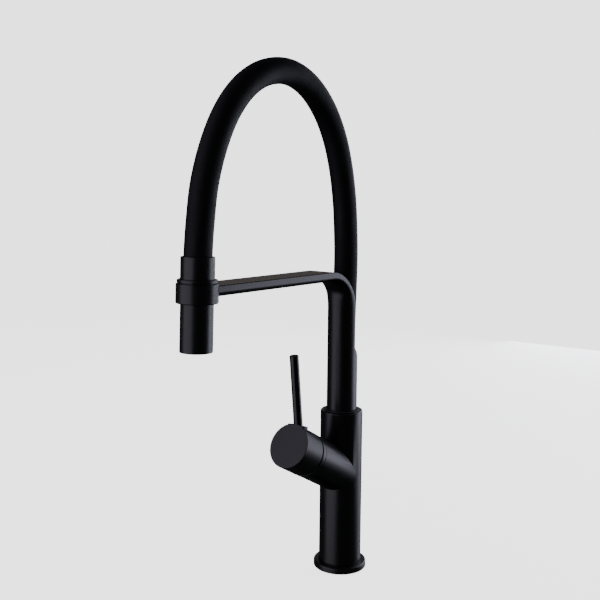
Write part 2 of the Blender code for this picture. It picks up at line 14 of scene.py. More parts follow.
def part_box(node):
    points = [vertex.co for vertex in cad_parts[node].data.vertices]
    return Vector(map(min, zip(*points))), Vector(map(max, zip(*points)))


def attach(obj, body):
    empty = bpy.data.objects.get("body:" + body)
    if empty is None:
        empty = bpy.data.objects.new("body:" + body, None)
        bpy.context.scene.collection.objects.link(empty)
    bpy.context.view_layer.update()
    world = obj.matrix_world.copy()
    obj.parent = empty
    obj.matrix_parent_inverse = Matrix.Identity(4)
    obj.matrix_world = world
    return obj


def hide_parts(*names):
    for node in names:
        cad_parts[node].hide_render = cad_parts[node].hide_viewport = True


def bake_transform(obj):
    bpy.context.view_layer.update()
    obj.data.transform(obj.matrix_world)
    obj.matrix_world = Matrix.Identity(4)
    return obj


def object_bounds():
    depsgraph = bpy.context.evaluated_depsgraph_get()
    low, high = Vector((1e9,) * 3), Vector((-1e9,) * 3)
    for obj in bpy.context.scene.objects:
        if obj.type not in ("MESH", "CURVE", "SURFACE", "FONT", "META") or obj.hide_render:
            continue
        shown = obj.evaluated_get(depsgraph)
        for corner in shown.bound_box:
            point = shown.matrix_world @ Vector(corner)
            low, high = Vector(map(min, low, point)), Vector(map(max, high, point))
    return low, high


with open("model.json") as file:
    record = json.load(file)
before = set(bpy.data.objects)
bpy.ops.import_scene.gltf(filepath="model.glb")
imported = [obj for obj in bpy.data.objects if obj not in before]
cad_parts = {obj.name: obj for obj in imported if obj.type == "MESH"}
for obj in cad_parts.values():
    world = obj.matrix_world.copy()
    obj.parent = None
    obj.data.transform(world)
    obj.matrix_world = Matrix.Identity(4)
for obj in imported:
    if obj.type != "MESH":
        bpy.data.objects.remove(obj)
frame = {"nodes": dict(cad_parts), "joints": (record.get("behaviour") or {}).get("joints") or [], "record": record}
CAD_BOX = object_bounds()
JOINTS = {joint["name"]: joint for joint in frame["joints"]}
MM = 0.001

PIECES = bpy.data.collections.new("pieces")
bpy.context.scene.collection.children.link(PIECES)

ROUND_STEPS = 144          # facets round large turned pieces
SMALL_STEPS = 64           # facets round small ones
ARC_STEPS = 5              # facets in each rounded corner
BEND_STEPS = 48            # sections round the bend of the spout
LOFT_SIDES = 128           # facets round the post and the arm
PAST = 3.0                 # how far a cut reaches past the solid, mm


# --- frames ----------------------------------------------------------------------
def axis_frame(origin, direction):
    """Matrix whose +Z runs along direction from origin and whose +X is the world's."""
    z = Vector(direction).normalized()
    x = Vector((1, 0, 0))
    y = z.cross(x)
    matrix = Matrix((x, y, z)).transposed().to_4x4()
    matrix.translation = Vector(origin)
    return matrix


def measure(node, matrix):
    """(low, high, radius) of a CAD node along and about the +Z axis of matrix, in mm."""
    inverse = matrix.inverted()
    points = [inverse @ vertex.co for vertex in frame["nodes"][node].data.vertices]
    heights = [point.z for point in points]
    radius = max(sqrt(point.x ** 2 + point.y ** 2) for point in points)
    return min(heights) / MM, max(heights) / MM, radius / MM


UPRIGHT = axis_frame((0, 0, 0), (0, 0, 1))
BRANCH = axis_frame(JOINTS["handle_turn"]["pos_m"], JOINTS["handle_turn"]["axis"])
HANDLE = axis_frame(JOINTS["handle_lift"]["pos_m"], JOINTS["handle_turn"]["axis"])
DOCK = axis_frame(JOINTS["head_spin"]["pos_m"], JOINTS["head_spin"]["axis"])
PIVOT_MM = (HANDLE.translation - BRANCH.translation).length / MM
REAR_SCREW_Z = 0.142       # height of the set screw that holds the spout, metres
REAR_SCREW = axis_frame((0, 0, REAR_SCREW_Z), (0, 1, 0))
LEVER_LEAN = 6.2           # forward lean of the lever from upright, degrees
LEVER_ROOT = (0.0, -0.0748, 0.1705)     # where the lever's axis enters the drum, metres
LEVER = axis_frame(LEVER_ROOT, (0, -sin(radians(LEVER_LEAN)), cos(radians(LEVER_LEAN))))
BOSS_LEAN = -16.0          # the boss leans back, between the lever and the drum's own radius
BOSS = axis_frame(LEVER_ROOT, (0, -sin(radians(BOSS_LEAN)), cos(radians(BOSS_LEAN))))

# --- sizes in mm, read from the frame or kept close to it --------------------------------
BODY_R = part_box("faucet_body")[1].x / MM
FOOT_BORE = 19.0
FOOT_BORE_TOP = 72.0
GASKET_R, GASKET_WIRE = 25.4, 1.2
INLET_X, INLET_Y, INLET_BORE = 7.8, 4.2, 4.45
STUD_Y, STUD_BORE, STUD_DEPTH = -10.5, 3.4, 8.0
SCREW_HOLE = 2.3           # both set screws
BRANCH_R = 22.4
BRANCH_END = 66.5
CAVITY_R = 17.6            # room for the cartridge in the branch
CAVITY_FLOOR = 30.0
SWIVEL_BORE = 17.6
SWIVEL_FLOOR = 137.0
BUSH_R = 17.3
NOSE_R = 18.5              # nose of the valve ring, which reaches into the drum
NOSE_START = 72.0
RING_BORE = 13.0
RING_SEAT = 70.0           # the valve ring's bore narrows above here

POST_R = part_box("spout_arm")[1].x / MM
POST_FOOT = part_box("spout_arm")[0].z / MM
POST_BORE = 13.4
ARM_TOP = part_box("spout_arm")[1].z / MM
REACH = -DOCK.translation.y / MM
ARM_DEPTH = 11.2
ARM_SIDE = 5.0             # depth of the arm's upright side faces
ARM_BACK_AXIS = 30.0       # back half-axis of the arm section before it is cut flat
BEND_R = 42.0              # outer bend, along the flat back
INNER_BEND_R = 18.0        # inner bend, under the arm
BACK_Y = 1.2               # flat back of the upright channel
CUT_TOP = 239.0            # the rear of the post is cut away above here
CUT_SLOPE = 0.70
EDGE_ROUND = 1.2           # rounding of the long edges of the arm and the upright
GROOVE_R = 12.95
GROOVE_LEAN = 0.0467
GROOVE_START = 230.0
GROOVE_LENGTH = 120.0
COLLAR_R = measure("docking_collar", DOCK)[2]
COLLAR_GAP = 0.1
COLLAR_BORE = 16.55
LINING_R, LINING_BORE = 16.4, 15.3
LIP_DEPTH = 3.1            # height of the lining's lip above the collar

CAP_R = 22.6
CAP_MOUTH_R = 21.6
CAP_BORE = 20.8
CAP_START = 73.8
CAP_ROOF = 86.0
CAP_FACE = 102.8
BOSS_R = 10.4
BOSS_TOP = -1.2
LEVER_SEAT = -2.7          # foot of the rod in its counterbore
LEVER_SPIGOT = 3.0         # radius of the thinner end below the seat
LEVER_FIT = 0.12           # gap round the rod

HEAD_BORE = 12.6
HEAD_NECK = 9.9            # narrow part of the upper shell, round the hose fitting
NECK_LOW, NECK_HIGH = 22.0, 25.8
OUTLET_BORE = 6.2
OUTLET_TOP = -2.0
HOSE_R = 12.6
HOSE_WALL = 2.6
SPRING_R = 8.7             # centre line of the support spring
SPRING_WIRE = 0.8
SPRING_PITCH = 4.2
SPRING_INSET = 4.0         # from each end of the hose
INNER_HOSE_R, INNER_HOSE_WALL = 6.6, 1.6
HOSE_ROUTE = (             # (y, z) from inside the post, over the arch, to the head
    (0, 206), (0, 232), (2.3, 280), (4.2, 330), (3, 363), (-0.3, 396), (-7.5, 429),
    (-19.5, 460), (-38.5, 487.5), (-64.5, 508), (-96, 517.5), (-129.5, 513),
    (-158.5, 497), (-181.5, 472), (-198, 441), (-208.5, 409), (-213.2, 378),
    (-215.6, 353), (-216.3, 333.3),
)


# --- mesh helpers ------------------------------------------------------------------
def finish_mesh(name, mesh, material, sharp=32.0, weighted=True):
    """Adds a mesh as a piece with smooth shading broken at real corners."""
    bm = bmesh.new()
    bm.from_mesh(mesh)
    bmesh.ops.recalc_face_normals(bm, faces=bm.faces)
    bm.to_mesh(mesh)
    bm.free()
    mesh.polygons.foreach_set("use_smooth", [True] * len(mesh.polygons))
    mesh.set_sharp_from_angle(angle=radians(sharp))
    mesh.materials.clear()
    mesh.materials.append(material)
    piece = bpy.data.objects.new(name, mesh)
    PIECES.objects.link(piece)
    if weighted:
        normals = piece.modifiers.new("normals", "WEIGHTED_NORMAL")
        normals.mode = "FACE_AREA"
        normals.weight = 60
        normals.keep_sharp = True
    return piece


def rounded(corners, closed=True):
    """(radius, height, rounding) corners in mm made into profile points with arcs."""
    points = []
    count = len(corners)
    for index, (x, y, rounding) in enumerate(corners):
        here = Vector((x, y))
        if rounding == 0 or (not closed and index in (0, count - 1)):
            points.append(here)
            continue
        before = (Vector(corners[index - 1][:2]) - here).normalized()
        after = (Vector(corners[(index + 1) % count][:2]) - here).normalized()
        half = before.angle(after) / 2
        reach = rounding / tan(half)
        centre = here + (before + after).normalized() * (rounding / sin(half))
        start = here + before * reach - centre
        end = here + after * reach - centre
        first = atan2(start.y, start.x)
        sweep = (atan2(end.y, end.x) - first + pi) % (2 * pi) - pi
        for k in range(ARC_STEPS + 1):
            angle = first + sweep * k / ARC_STEPS
            points.append(centre + rounding * Vector((cos(angle), sin(angle))))
    return points


def lathe(points, matrix, steps=ROUND_STEPS, closed=True):
    """Mesh of a profile in mm turned about matrix's +Z; an open one ends on the axis."""
    mesh = bpy.data.meshes.new("lathe")
    verts, faces, rows = [], [], []
    for point in points:
        if point[0] < 1e-6:
            rows.append([len(verts)] * steps)
            verts.append(matrix @ Vector((0, 0, point[1] * MM)))
            continue
        rows.append(list(range(len(verts), len(verts) + steps)))
        for k in range(steps):
            angle = 2 * pi * k / steps
            verts.append(matrix @ Vector((point[0] * cos(angle) * MM,
                                          point[0] * sin(angle) * MM, point[1] * MM)))
    pairs = list(zip(rows, rows[1:]))
    if closed:
        pairs.append((rows[-1], rows[0]))
    for first, second in pairs:
        for k in range(steps):
            j = (k + 1) % steps
            face = [first[k], first[j], second[j], second[k]]
            face = [v for i, v in enumerate(face) if v not in face[:i]]
            if len(face) > 2:
                faces.append(face)
    mesh.from_pydata(verts, [], faces)
    return mesh


def turned(name, corners, matrix, material, steps=ROUND_STEPS, closed=True):
    """A turned piece from rounded corners."""
    return finish_mesh(name, lathe(rounded(corners, closed), matrix, steps, closed),
                       material)


def rod_mesh(radius, low, high, matrix, steps=SMALL_STEPS, offset=(0, 0)):
    """A plain closed cylinder along matrix's Z between two heights, all in mm."""
    shifted = matrix @ Matrix.Translation((offset[0] * MM, offset[1] * MM, 0))
    points = [(0, high), (radius, high), (radius, low), (0, low)]
    return lathe(points, shifted, steps, closed=False)


def box_mesh(low, high, matrix):
    """A closed box between two corners in matrix's frame, in mm."""
    mesh = bpy.data.meshes.new("box")
    bm = bmesh.new()
    bmesh.ops.create_cube(bm, size=1)
    low, high = Vector(low) * MM, Vector(high) * MM
    size = Matrix.Diagonal((*(high - low), 1))
    bm.transform(matrix @ Matrix.Translation((low + high) / 2) @ size)
    bm.to_mesh(mesh)
    bm.free()
    return mesh


def carve(mesh, *steps):
    """Applies (operation, mesh) Booleans to a mesh and returns the new mesh."""
    base = bpy.data.objects.new("carve_base", mesh)
    bpy.context.scene.collection.objects.link(base)
    helpers = [base]
    for operation, tool_mesh in steps:
        normals = bmesh.new()
        normals.from_mesh(tool_mesh)
        bmesh.ops.recalc_face_normals(normals, faces=normals.faces)
        normals.to_mesh(tool_mesh)
        normals.free()
        tool = bpy.data.objects.new("carve_tool", tool_mesh)
        bpy.context.scene.collection.objects.link(tool)
        helpers.append(tool)
        modifier = base.modifiers.new("carve", "BOOLEAN")
        modifier.operation = operation
        modifier.solver = "EXACT"
        modifier.object = tool
    bm = bmesh.new()
    bm.from_mesh(mesh)
    bmesh.ops.recalc_face_normals(bm, faces=bm.faces)
    bm.to_mesh(mesh)
    bm.free()
    bpy.context.view_layer.update()
    evaluated = base.evaluated_get(bpy.context.evaluated_depsgraph_get())
    result = bpy.data.meshes.new_from_object(evaluated)
    for helper in helpers:
        bpy.data.objects.remove(helper)
    return result


# --- materials ---------------------------------------------------------------------
class Nodes:
    """Short ways to add and link shader nodes in one material."""

    def __init__(self, name):
        self.material = bpy.data.materials.new(name)
        self.material.use_nodes = True
        self.tree = self.material.node_tree
        self.shader = self.tree.nodes["Principled BSDF"]
        self.place = self.add("ShaderNodeTexCoord").outputs["Object"]

    def add(self, kind, **settings):
        node = self.tree.nodes.new(kind)
        for key, value in settings.items():
            setattr(node, key, value)
        return node

    def put(self, node, socket, value):
        """Links an output to a socket, or sets the socket's own value."""
        target = node.inputs[socket]
        if isinstance(value, bpy.types.NodeSocket):
            self.tree.links.new(value, target)
        else:
            target.default_value = value

    def noise(self, scale, detail=3.0, roughness=0.5, vector=None):
        """Noise from 0 to 1; a scale of 1000 gives features of about a millimetre."""
        node = self.add("ShaderNodeTexNoise")
        self.put(node, "Vector", vector or self.place)
        self.put(node, "Scale", scale)
        self.put(node, "Detail", detail)
        self.put(node, "Roughness", roughness)
        return node.outputs["Fac"]

    def remap(self, value, low, high, start=0.3, end=0.7):
        """Moves the range from start to end onto the range from low to high."""
        node = self.add("ShaderNodeMapRange")
        self.put(node, "Value", value)
        self.put(node, "From Min", start)
        self.put(node, "From Max", end)
        self.put(node, "To Min", low)
        self.put(node, "To Max", high)
        return node.outputs["Result"]

    def mix(self, factor, a, b):
        node = self.add("ShaderNodeMix", data_type="RGBA")
        self.put(node, 0, factor)
        self.put(node, 6, (*a, 1.0) if isinstance(a, tuple) else a)
        self.put(node, 7, (*b, 1.0) if isinstance(b, tuple) else b)
        return node.outputs[2]

    def maths(self, operation, a, b=0.0):
        node = self.add("ShaderNodeMath", operation=operation)
        self.put(node, 0, a)
        self.put(node, 1, b)
        return node.outputs[0]

    def local(self, matrix, flatten=False):
        """Coordinates in another frame; flatten drops the height above its XY plane."""
        inverse = matrix.inverted()
        node = self.add("ShaderNodeMapping", vector_type="POINT")
        self.put(node, "Vector", self.place)
        self.put(node, "Location", inverse.translation)
        self.put(node, "Rotation", inverse.to_euler())
        if not flatten:
            return node.outputs["Vector"]
        flat = self.add("ShaderNodeVectorMath", operation="MULTIPLY")
        self.put(flat, 0, node.outputs["Vector"])
        self.put(flat, 1, (1.0, 1.0, 0.0))
        return flat.outputs["Vector"]

    def bump(self, height, strength, distance, normal=None):
        node = self.add("ShaderNodeBump")
        self.put(node, "Strength", strength)
        self.put(node, "Distance", distance)
        self.put(node, "Height", height)
        if normal:
            self.put(node, "Normal", normal)
        return node.outputs["Normal"]


def coat_material(name, dark, light, rough_low, rough_high, grain=0.12):
    """Satin black powder coat: fine grain, faint orange peel, uneven sheen."""
    n = Nodes(name)
    cloud = n.noise(24.0, 4.0)
    fine = n.noise(2600.0, 2.0, 0.6)
    peel = n.noise(420.0, 2.0)
    n.put(n.shader, "Base Color", n.mix(n.remap(cloud, 0.0, 1.0), dark, light))
    patchy = n.maths("ADD", n.maths("MULTIPLY", cloud, 0.4), n.maths("MULTIPLY", fine, 0.6))
    n.put(n.shader, "Roughness", n.remap(patchy, rough_low, rough_high))
    normal = n.bump(peel, 0.05, 0.0002)
    n.put(n.shader, "Normal", n.bump(fine, grain, 0.00006, normal))
    return n.material


def spun_coat_material(name, dark, light, rough_low, rough_high, matrix):
    """The same coat over a face turned on a lathe, with its rings showing through."""
    n = Nodes(name)
    cloud = n.noise(30.0, 4.0)
    fine = n.noise(2600.0, 2.0, 0.6)
    flat = n.local(matrix, flatten=True)
    length = n.add("ShaderNodeVectorMath", operation="LENGTH")
    n.put(length, 0, flat)
    radius = length.outputs["Value"]
    wobble = n.maths("MULTIPLY", n.noise(90.0, 2.0), 0.0006)
    ring_width, band_width = 0.00075, 0.0043
    turns = n.maths("MULTIPLY", n.maths("ADD", radius, wobble), 2 * pi / ring_width)
    ridges = n.maths("SINE", turns)
    broad = n.maths("SINE", n.maths("MULTIPLY", radius, 2 * pi / band_width))
    n.put(n.shader, "Base Color", n.mix(n.remap(cloud, 0.0, 1.0), dark, light))
    shine = n.maths("ADD", n.maths("MULTIPLY", broad, 0.08), fine)
    n.put(n.shader, "Roughness", n.remap(shine, rough_low, rough_high))
    normal = n.bump(ridges, 0.10, 0.00003)
    n.put(n.shader, "Normal", n.bump(fine, 0.1, 0.00005, normal))
    return n.material


def silicone_material(name):
    """Soft-touch black silicone: dull, with a faint dusty sheen and a moulded grain."""
    n = Nodes(name)
    cloud = n.noise(35.0, 5.0)
    fine = n.noise(1500.0, 3.0, 0.65)
    n.put(n.shader, "Base Color",
          n.mix(n.remap(cloud, 0.0, 1.0), (0.0022, 0.0022, 0.0028), (0.0042, 0.0042, 0.0052)))
    n.put(n.shader, "Roughness", n.remap(n.maths("ADD", cloud, n.maths("MULTIPLY", fine, 0.3)),
                                         0.56, 0.70, 0.4, 0.9))
    n.put(n.shader, "Specular IOR Level", 0.22)
    n.put(n.shader, "Sheen Weight", 0.03)
    n.put(n.shader, "Sheen Roughness", 0.5)
    n.put(n.shader, "Sheen Tint", (0.75, 0.82, 1.0, 1.0))
    n.put(n.shader, "Normal", n.bump(fine, 0.22, 0.00008))
    return n.material


def plastic_material(name, dark, light, rough_low, rough_high):
    """Moulded plastic with a spark-eroded grain."""
    n = Nodes(name)
    cloud = n.noise(60.0, 3.0)
    fine = n.noise(2200.0, 2.0)
    n.put(n.shader, "Base Color", n.mix(n.remap(cloud, 0.0, 1.0), dark, light))
    n.put(n.shader, "Roughness", n.remap(fine, rough_low, rough_high))
    n.put(n.shader, "Normal", n.bump(fine, 0.12, 0.00006))
    return n.material


def metal_material(name, dark, light, rough_low, rough_high, matrix=UPRIGHT):
    """Turned metal with fine tool rings across its axis and slightly uneven tone."""
    n = Nodes(name)
    cloud = n.noise(80.0, 4.0)
    place = n.local(matrix)
    stretch = n.add("ShaderNodeVectorMath", operation="MULTIPLY")
    n.put(stretch, 0, place)
    n.put(stretch, 1, (0.02, 0.02, 1.0))
    rings = n.noise(5200.0, 2.0, 0.5, stretch.outputs["Vector"])
    n.put(n.shader, "Metallic", 1.0)
    n.put(n.shader, "Base Color", n.mix(n.remap(cloud, 0.0, 1.0), dark, light))
    n.put(n.shader, "Roughness", n.remap(rings, rough_low, rough_high))
    n.put(n.shader, "Normal", n.bump(rings, 0.12, 0.00004))
    return n.material


BLACK = coat_material("black_coat", (0.0030, 0.0030, 0.0036), (0.0050, 0.0050, 0.0058),
                      0.30, 0.40)
SPUN = spun_coat_material("black_coat_spun", (0.0044, 0.0044, 0.0052),
                          (0.0066, 0.0066, 0.0076), 0.34, 0.44, BRANCH)
GLOSSY = coat_material("black_coat_glossy", (0.0030, 0.0030, 0.0036),
                       (0.0046, 0.0046, 0.0054), 0.20, 0.28, 0.06)
SILICONE = silicone_material("black_silicone")
RUBBER = plastic_material("black_rubber", (0.008, 0.008, 0.008), (0.014, 0.014, 0.014),
                          0.6, 0.8)
GREY = plastic_material("grey_plastic", (0.030, 0.030, 0.033), (0.042, 0.042, 0.045),
                        0.42, 0.55)
WHITE = plastic_material("white_plastic", (0.74, 0.74, 0.71), (0.80, 0.80, 0.78),
                         0.38, 0.5)
CERAMIC = plastic_material("ceramic", (0.80, 0.78, 0.73), (0.86, 0.84, 0.80), 0.12, 0.2)
BRASS = metal_material("brass", (0.62, 0.43, 0.17), (0.74, 0.54, 0.26), 0.22, 0.36)
STEEL = metal_material("steel", (0.52, 0.52, 0.53), (0.63, 0.63, 0.64), 0.2, 0.34)
SLOTS = {"black_coat": BLACK, "black_silicone": SILICONE, "black_rubber": RUBBER,
         "grey_plastic": GREY, "white_plastic": WHITE, "ceramic": CERAMIC,
         "brass": BRASS, "steel": STEEL}


def dress_frame():
    """Gives every CAD node the procedural finish of its slot."""
    for part in frame["record"]["subparts"]:
        node = frame["nodes"][part["node"]]
        for slot in node.material_slots:
            slot.material = SLOTS[part["material_slot"]]


# --- base and body -------------------------------------------------------------------
def put_on(piece, body, slot_name, *nodes):
    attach(piece, body)
    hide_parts(*nodes)
    return piece


def base_ring():
    low, high, radius = measure("base_flange", UPRIGHT)
    inner = BODY_R + 0.12
    groove_in, groove_out, groove_top = GASKET_R - 1.6, GASKET_R + 1.6, low + 2.3
    corners = [
        (inner, high, 0.25), (radius, high, 1.5), (radius, low, 0.3),
        (groove_out, low, 0), (groove_out, groove_top, 0), (groove_in, groove_top, 0),
        (groove_in, low, 0), (inner, low, 0),
    ]
    put_on(turned("base_ring", corners, UPRIGHT, BLACK), "faucet", "black_coat",
           "base_flange")


def deck_gasket():
    sides = 20
    profile = [(GASKET_R + GASKET_WIRE * cos(2 * pi * k / sides),
                GASKET_WIRE + GASKET_WIRE * sin(2 * pi * k / sides)) for k in range(sides)]
    gasket = finish_mesh("deck_gasket", lathe(profile, UPRIGHT), RUBBER)
    put_on(gasket, "faucet", "black_rubber", "base_gasket")


def thread(radius, low, high, pitch, depth):
    """Profile points of a grooved bore wall that looks like a thread, going up."""
    points = []
    for k in range(int((high - low) / pitch)):
        start = low + k * pitch
        points += [(radius, start), (radius, start + pitch * 0.12),
                   (radius + depth, start + pitch * 0.5),
                   (radius + depth, start + pitch * 0.62)]
    return points + [(radius, high)]


def base_insert():
    """Brass insert seen from below, with its threaded inlets and stud hole."""
    low, high, radius = measure("base_plug", UPRIGHT)
    plug = lathe(rounded([(0, high, 0), (radius, high, 0.5), (radius, low, 0.5),
                          (0, low, 0)], closed=False), UPRIGHT, closed=False)
    steps = []
    for x, y, bore, top in ((-INLET_X, INLET_Y, INLET_BORE, high + 1.0),
                            (INLET_X, INLET_Y, INLET_BORE, high + 1.0),
                            (0.0, STUD_Y, STUD_BORE, STUD_DEPTH)):
        crest, mouth = bore - 0.35, bore + 0.5
        wall = thread(crest, low + 0.7, top - 0.2, pitch=1.0, depth=0.45)
        points = [(0, low - 1.0), (mouth, low - 1.0), (mouth, low)] + wall
        points += [(crest, top), (0, top)]
        hole = UPRIGHT @ Matrix.Translation((x * MM, y * MM, 0))
        steps.append(("DIFFERENCE", lathe(points, hole, 40, closed=False)))
    piece = finish_mesh("base_insert", carve(plug, *steps), BRASS)
    put_on(piece, "faucet", "brass", "base_plug")


def body_casting():
    low, high, _ = measure("faucet_body", UPRIGHT)
    outer = lathe(rounded([(0, high, 0), (BODY_R, high, 1.5), (BODY_R, low, 0.4),
                           (0, low, 0)], closed=False), UPRIGHT, closed=False)
    arm = lathe(rounded([(0, BRANCH_END, 0), (BRANCH_R, BRANCH_END, 0.35),
                         (BRANCH_R, 0.0, 0), (0, 0.0, 0)], closed=False),
                BRANCH, closed=False)
    mesh = carve(
        outer,
        ("UNION", arm),
        ("DIFFERENCE", rod_mesh(FOOT_BORE, low - PAST, FOOT_BORE_TOP, UPRIGHT, ROUND_STEPS)),
        ("DIFFERENCE", rod_mesh(CAVITY_R, CAVITY_FLOOR, BRANCH_END + PAST, BRANCH,
                                ROUND_STEPS)),
        ("DIFFERENCE", rod_mesh(SWIVEL_BORE, SWIVEL_FLOOR, high + PAST, UPRIGHT,
                                ROUND_STEPS)),
        ("DIFFERENCE", rod_mesh(SCREW_HOLE, 15.0, BODY_R + PAST, REAR_SCREW)),
    )
    piece = finish_mesh("body_casting", mesh, BLACK)
    put_on(piece, "faucet", "black_coat", "faucet_body")


def swivel_ring():
    low, high, radius = measure("upper_swivel_bush", UPRIGHT)
    bore, brim = POST_R + 0.2, high - 0.75
    corners = [(bore, high, 0.15), (radius, high, 0.35), (radius, brim, 0.15),
               (BUSH_R, brim, 0), (BUSH_R, low, 0.3), (bore, low, 0.3)]
    put_on(turned("swivel_ring", corners, UPRIGHT, GREY), "faucet", "grey_plastic",
           "upper_swivel_bush")


def hex_screw(name, node, matrix, body):
    """A set screw with a hexagon socket in its outer end."""
    low, high, radius = measure(node, matrix)
    corners = [(0, high, 0), (radius, high, 0.3), (radius, low, 0.4), (0, low, 0)]
    screw = lathe(rounded(corners, closed=False), matrix, 48, closed=False)
    key = 1.15
    socket = lathe([(0, high + 1), (key, high + 1), (key, high - 2.0), (0, high - 2.5)],
                   matrix, 6, closed=False)
    piece = finish_mesh(name, carve(screw, ("DIFFERENCE", socket)), STEEL)
    put_on(piece, body, "steel", node)


# --- spout -------------------------------------------------------------------------
def front_line(t):
    """Point on the front line of the bend at the fraction t of its length."""
    low_z = ARM_TOP - BEND_R
    arc_z = ARM_TOP - ARM_DEPTH - INNER_BEND_R
    rise = arc_z - low_z
    arc = INNER_BEND_R * pi / 2
    run = BEND_R - BACK_Y - POST_R - INNER_BEND_R
    walked = t * (rise + arc + run)
    if walked < rise:
        return Vector((-POST_R, low_z + walked))
    if walked < rise + arc:
        angle = (walked - rise) / INNER_BEND_R
        return Vector((-POST_R - INNER_BEND_R * (1 - cos(angle)),
                       arc_z + INNER_BEND_R * sin(angle)))
    return Vector((-POST_R - INNER_BEND_R - (walked - rise - arc), ARM_TOP - ARM_DEPTH))


def spout_stations():
    """(centre, front point, back half-axis) of each section, as (y, z) in mm."""
    stations = []
    post_heights, arm_places = (POST_FOOT, 200.0, 240.0, 262.0, 272.0), (-90.0, -140.0)
    for z in post_heights:
        stations.append((Vector((0, z)), Vector((-POST_R, z)), POST_R))
    bend_start = ARM_TOP - BEND_R
    run, rise = BEND_R - BACK_Y, ARM_TOP - ARM_SIDE - bend_start
    for k in range(BEND_STEPS + 1):
        t = k / BEND_STEPS
        angle = t * pi / 2
        centre = Vector((-run * (1 - cos(angle)), bend_start + rise * sin(angle)))
        back = POST_R + (ARM_BACK_AXIS - POST_R) * t
        stations.append((centre, front_line(t), back))
    for y in (*arm_places, -REACH + 8.0):
        stations.append((Vector((y, ARM_TOP - ARM_SIDE)),
                         Vector((y, ARM_TOP - ARM_DEPTH)), ARM_BACK_AXIS))
    return stations


def loft_mesh():
    """The post, bend and arm before their back is cut flat: sections joined in turn."""
    mesh = bpy.data.meshes.new("loft")
    bm = bmesh.new()
    rows = []
    for centre, front, back_axis in spout_stations():
        forward = front - centre
        row = []
        for k in range(LOFT_SIDES):
            angle = 2 * pi * k / LOFT_SIDES
            reach = cos(angle)
            offset = forward * reach if reach > 0 else forward.normalized() * back_axis * reach
            point = centre + offset
            row.append(bm.verts.new((POST_R * sin(angle) * MM, point.x * MM, point.y * MM)))
        rows.append(row)
    for first, second in zip(rows, rows[1:]):
        for k in range(LOFT_SIDES):
            j = (k + 1) % LOFT_SIDES
            bm.faces.new((first[k], first[j], second[j], second[k]))
    bm.faces.new(list(reversed(rows[0])))
    bm.faces.new(rows[-1])
    bmesh.ops.recalc_face_normals(bm, faces=bm.faces)
    bm.to_mesh(mesh)
    bm.free()
    return mesh


def back_outline(depth):
    """Side outline of what is cut away behind the upright and above the arm, depth mm in."""
    far_y, far_z, end_y = 40.0, ARM_TOP + 60.0, -REACH - 30.0
    outline = [(far_y, CUT_TOP - (far_y - BACK_Y) / CUT_SLOPE), (BACK_Y - depth, CUT_TOP),
               (BACK_Y - depth, ARM_TOP - BEND_R)]
    for k in range(1, BEND_STEPS + 1):
        angle = pi / 2 * k / BEND_STEPS
        outline.append((BACK_Y - BEND_R + (BEND_R - depth) * cos(angle),
                        ARM_TOP - BEND_R + (BEND_R - depth) * sin(angle)))
    return outline + [(end_y, ARM_TOP - depth), (end_y, far_z), (far_y, far_z)]


def back_mesh():
    """The cut-away block; it dips at both sides, which rounds the casting's long edges."""
    steps = 6
    side = [(30.0, EDGE_ROUND)]
    for k in range(steps + 1):
        angle = pi / 2 * (1 - k / steps)
        side.append((POST_R - EDGE_ROUND * (1 - sin(angle)), EDGE_ROUND * (1 - cos(angle))))
    columns = [(-x, depth) for x, depth in side] + side[::-1]
    mesh = bpy.data.meshes.new("back")
    bm = bmesh.new()
    rows = [[bm.verts.new((x * MM, y * MM, z * MM)) for y, z in back_outline(depth)]
            for x, depth in columns]
    bm.faces.new(rows[0])
    bm.faces.new(list(reversed(rows[-1])))
    for left, right in zip(rows, rows[1:]):
        for k in range(len(left)):
            j = (k + 1) % len(left)
            bm.faces.new((left[j], left[k], right[k], right[j]))
    bmesh.ops.recalc_face_normals(bm, faces=bm.faces)
    bm.to_mesh(mesh)
    bm.free()
    return mesh


def spout_casting():
    low = GROOVE_START - 8.0
    start = Vector((0, GROOVE_LEAN * (low - GROOVE_START), low)) * MM
    groove = axis_frame(start, (0, GROOVE_LEAN, 1))
    mesh = carve(
        loft_mesh(),
        ("DIFFERENCE", back_mesh()),
        ("DIFFERENCE", rod_mesh(POST_BORE, POST_FOOT - PAST, CUT_TOP - 4, UPRIGHT,
                                ROUND_STEPS)),
        ("DIFFERENCE", rod_mesh(GROOVE_R, 0, GROOVE_LENGTH, groove, ROUND_STEPS)),
        ("DIFFERENCE", rod_mesh(COLLAR_R + COLLAR_GAP, -30, 40, DOCK, ROUND_STEPS)),
    )
    piece = finish_mesh("spout_casting", mesh, BLACK, sharp=26.0)
    put_on(piece, "spout", "black_coat", "spout_arm")


def dock_ring():
    low, high, radius = measure("docking_collar", DOCK)
    corners = [(COLLAR_BORE, high, 0.2), (radius, high, 0.5), (radius, low, 1.1),
               (COLLAR_BORE, low, 0.4)]
    put_on(turned("dock_ring", corners, DOCK, BLACK), "spout", "black_coat",
           "docking_collar")


def dock_lining():
    low, high, lip = measure("collar_liner", DOCK)
    corners = [(LINING_BORE, high, 0.4), (lip, high, 0.7), (lip, high - LIP_DEPTH, 0.5),
               (LINING_R, high - LIP_DEPTH, 0), (LINING_R, low, 0.2),
               (LINING_BORE, low, 0.4)]
    put_on(turned("dock_lining", corners, DOCK, BLACK), "spout", "black_coat",
           "collar_liner")


